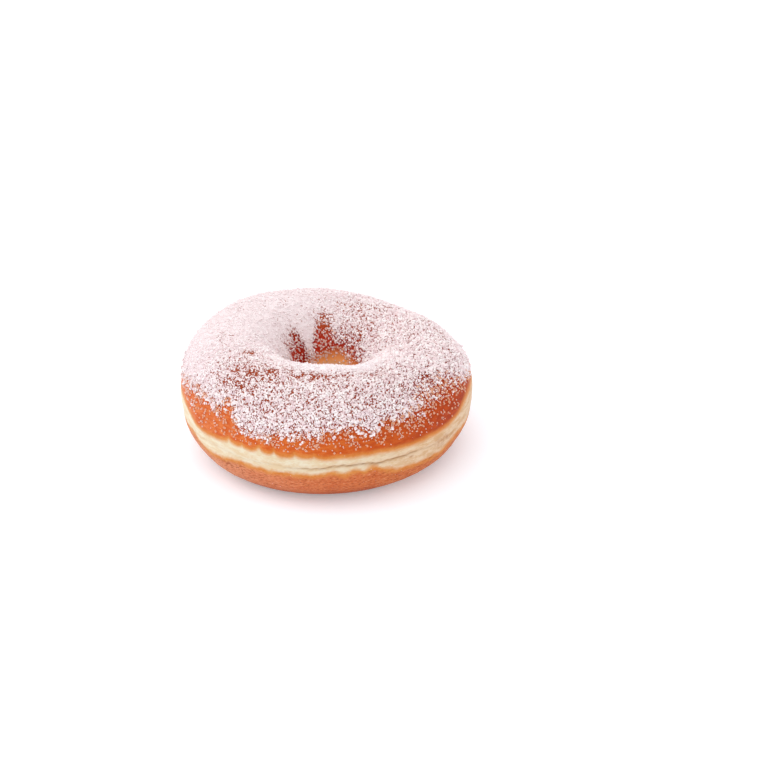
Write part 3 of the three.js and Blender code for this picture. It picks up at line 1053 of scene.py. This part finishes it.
def sugar_material(dusting):
    """Granulated sugar: white crystals with dusty faces, amber where they let the crust through, and whiter
    on the rim's ridge, partly as a painted highlight.
    """
    material, tree, surface = new_material("granulated sugar")
    place = add_node(tree, "ShaderNodeTexCoord").outputs["Object"]
    dust = add_node(
        tree, "ShaderNodeGroup", {"node_tree": dusting}, Place=place, Cover=0.6,
        White=own(CRYSTAL_WHITE), Rose=own(CRYSTAL_ROSE),
    )
    colour = mix(tree, kept(tree, "packed") * PACKED_TINT, dust.outputs["Colour"], own(PACKED_WHITE))
    colour = mix(tree, kept(tree, "amber"), colour, seen(CRYSTAL_AMBER))
    # the rim's ridge whiter, partly as a painted highlight
    feed(surface.inputs["Base Color"], mix(tree, kept(tree, "ridge"), colour, own(RIDGE_WHITE_AND_HIGHLIGHT)))
    feed(surface.inputs["Roughness"], 0.3 + 0.4 * Field(dust.outputs["Mask"]))
    bump = add_node(tree, "ShaderNodeBump", Strength=0.3, Distance=0.00005, Height=dust.outputs["Height"])
    feed(surface.inputs["Normal"], bump.outputs["Normal"])
    return material


# Studio

def make_floor():
    """A white table that glows a little, as a lit one does."""
    material, tree, surface = new_material("pale floor")
    surface.inputs["Base Color"].default_value = FLOOR_COLOUR
    surface.inputs["Roughness"].default_value = 0.8
    surface.inputs["Specular IOR Level"].default_value = 0.1
    surface.inputs["Emission Color"].default_value = FLOOR_GLOW_COLOUR
    surface.inputs["Emission Strength"].default_value = FLOOR_GLOW
    size = FLOOR_SIZE
    corners = [(-size, -size, 0), (size, -size, 0), (size, size, 0), (-size, size, 0)]
    mesh = bpy.data.meshes.new("floor")
    mesh.from_pydata(corners, [], [(0, 1, 2, 3)])
    mesh.materials.append(material)
    new_object("floor", mesh)


def make_key_light():
    lamp = bpy.data.lights.new("key", "AREA")
    lamp.energy = KEY_POWER
    lamp.size = KEY_SIZE
    light = bpy.data.objects.new("key", lamp)
    light.location = KEY_PLACE
    light.rotation_mode = "QUATERNION"
    light.rotation_quaternion = (-Vector(KEY_PLACE)).to_track_quat("-Z", "Y")
    bpy.context.scene.collection.objects.link(light)


def make_world():
    """A sky that is brighter overhead, as under a large soft lamp."""
    world = bpy.data.worlds.new("studio")
    bpy.context.scene.world = world
    world.use_nodes = True
    tree = world.node_tree
    direction = add_node(tree, "ShaderNodeTexCoord").outputs["Generated"]
    upward = Field(add_node(tree, "ShaderNodeSeparateXYZ", Vector=direction).outputs["Z"])
    sky = tree.nodes["Background"]
    sky.inputs["Color"].default_value = (1, 1, 1, 1)
    feed(sky.inputs["Strength"], SKY_LOW + SKY_RISE * clamped(upward))


def make_camera(axis_foot):
    """Places the camera by the fit: it looks past the ring, which stands where the photo has it."""
    data = bpy.data.cameras.new("camera")
    data.lens = LENS
    data.sensor_width = SENSOR
    data.clip_start = 0.01
    camera = bpy.data.objects.new("camera", data)
    bpy.context.scene.collection.objects.link(camera)
    bpy.context.scene.camera = camera
    elevation = math.radians(CAMERA_ELEVATION)
    back = Vector((0, -math.cos(elevation), math.sin(elevation)))
    camera.location = axis_foot + back * CAMERA_DISTANCE * MM
    aim = Quaternion((1, 0, 0), math.pi / 2 - elevation) @ Quaternion((0, 0, 1), math.radians(CAMERA_ROLL))
    focal = FRAME_PIXELS * LENS / SENSOR
    middle = FRAME_PIXELS / 2
    beside = Vector((middle - AXIS_FOOT_PIXEL[0], AXIS_FOOT_PIXEL[1] - middle, -focal))
    camera.rotation_mode = "QUATERNION"
    camera.rotation_quaternion = aim @ Vector((0, 0, -1)).rotation_difference(beside)


# Assembly

mottling = mottling_group()
dusting = dusting_group()
dough = grow("dough", skin_tree(), Material=crust_material(mottling, dusting))
axis_foot = centre_on_frame(dough)
dough.data.validate()
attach(dough, "root")
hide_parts(NODE)

sugar = sugar_material(dusting)
scatter = scatter_tree()
for name, kind in GRAIN_KINDS.items():
    grains = grow(name, scatter, dough.data, Material=sugar, **kind)
    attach(grains, "root")

make_floor()
make_world()
make_key_light()
make_camera(Vector((axis_foot.x, axis_foot.y, 0)))
bpy.context.scene.view_settings.view_transform = "Standard"
